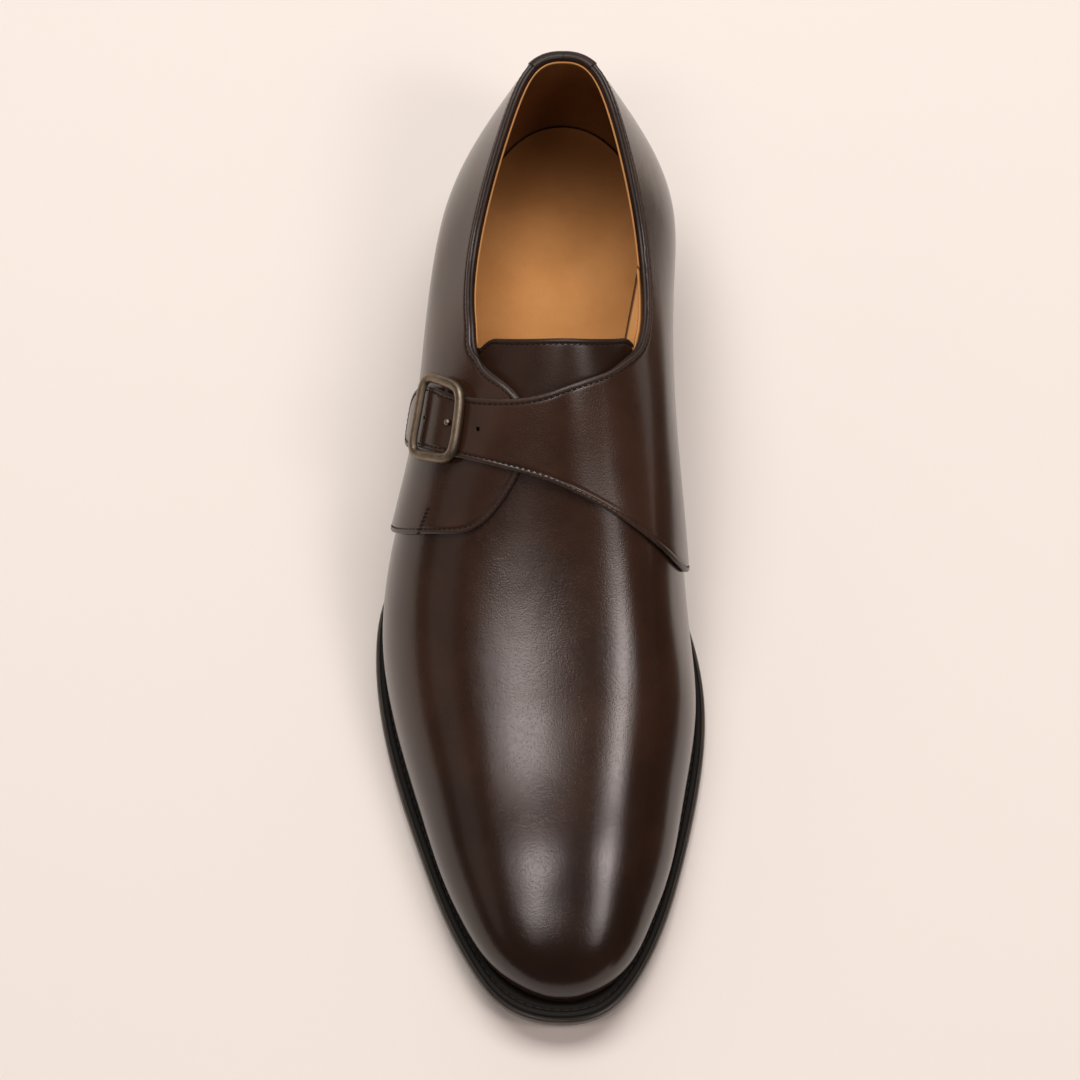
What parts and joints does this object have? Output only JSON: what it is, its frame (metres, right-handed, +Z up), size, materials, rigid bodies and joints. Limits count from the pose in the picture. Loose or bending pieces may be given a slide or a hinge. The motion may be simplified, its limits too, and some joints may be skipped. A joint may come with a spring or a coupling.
{
  "type": "monk strap shoe",
  "caption": "Men's plain toe monk strap dress shoe in polished dark brown leather with tan lining, side buckle, stitched welt and stacked heel.",
  "frame": {"origin": "middle of the shoe's box at the floor it stands on", "axes": "+Z up, -Y towards the toe, +Y towards the heel, +X towards the inner (medial) side"},
  "size_m": [0.1054, 0.3013, 0.0925],
  "materials": {
    "vamp_leather": "polished dark brown calf",
    "quarter_leather": "polished dark brown calf",
    "tongue_leather": "smooth dark brown",
    "sock_leather": "matt tan",
    "welt_leather": "near black, waxed",
    "sole_leather": "brown stained edge",
    "heel_leather": "stained stacked leather",
    "top_piece_rubber": "matt black",
    "buckle_metal": "antique, satin"
  },
  "bodies": {
    "root": {"upper": "vamp_leather", "quarter_lateral": "quarter_leather", "quarter_medial_strap": "quarter_leather", "tongue": "tongue_leather", "heel_tab": "quarter_leather", "insole": "sock_leather", "welt": "welt_leather", "outsole": "sole_leather", "heel_lift_3": "heel_leather", "heel_lift_2": "heel_leather", "heel_lift_1": "heel_leather", "top_piece": "top_piece_rubber", "buckle_frame": "buckle_metal", "buckle_bar": "buckle_metal", "buckle_prong": "buckle_metal"}
  },
  "joints": []
}
